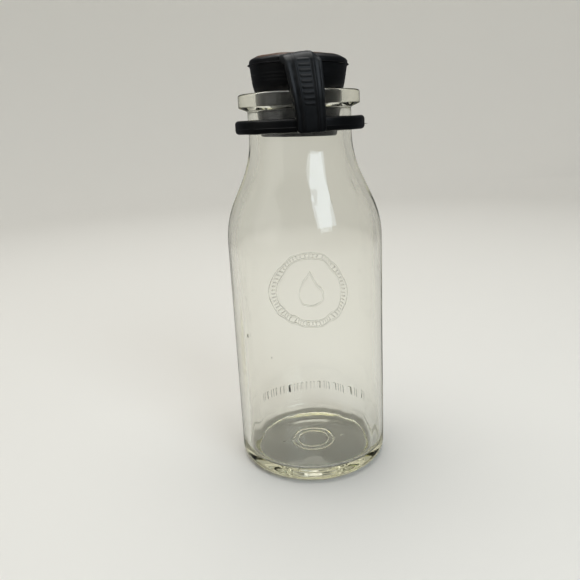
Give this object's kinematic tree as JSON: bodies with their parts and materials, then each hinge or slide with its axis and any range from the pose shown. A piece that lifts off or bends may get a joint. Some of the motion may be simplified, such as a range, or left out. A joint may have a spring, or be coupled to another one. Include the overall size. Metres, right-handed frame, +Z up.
{
  "type": "stoppered bottle",
  "caption": "Clear pressed-glass bottle with a long shoulder and a thick lip, closed by a tapered black rubber stopper tied by a strap to a ring round its neck.",
  "frame": {"origin": "centre of the flat ring that the bottle stands on, on the glass's axis", "axes": "+Z up along the glass's axis, -Y towards the strap, +X to the right of the strap"},
  "size_m": [0.075, 0.0754, 0.198],
  "materials": {
    "clear_glass": "pressed, polished, faint cream tint",
    "black_rubber": "moulded, satin, aged brown at the rim"
  },
  "bodies": {
    "bottle": {"glass_bottle": "clear_glass"},
    "ring": {"neck_ring": "black_rubber", "tether_strap": "black_rubber"},
    "closure": {"stopper": "black_rubber"}
  },
  "joints": [
    {"name": "ring_turn", "type": "hinge", "parent": "bottle", "child": "ring", "pos_m": [0, 0, 0.1676], "axis": [0, 0, 1], "continuous": true},
    {"name": "stopper_lift", "type": "slide", "parent": "ring", "child": "closure", "axis": [0, 0, 1], "range_m": [0, 0.024], "deforming": ["tether_strap"]}
  ]
}
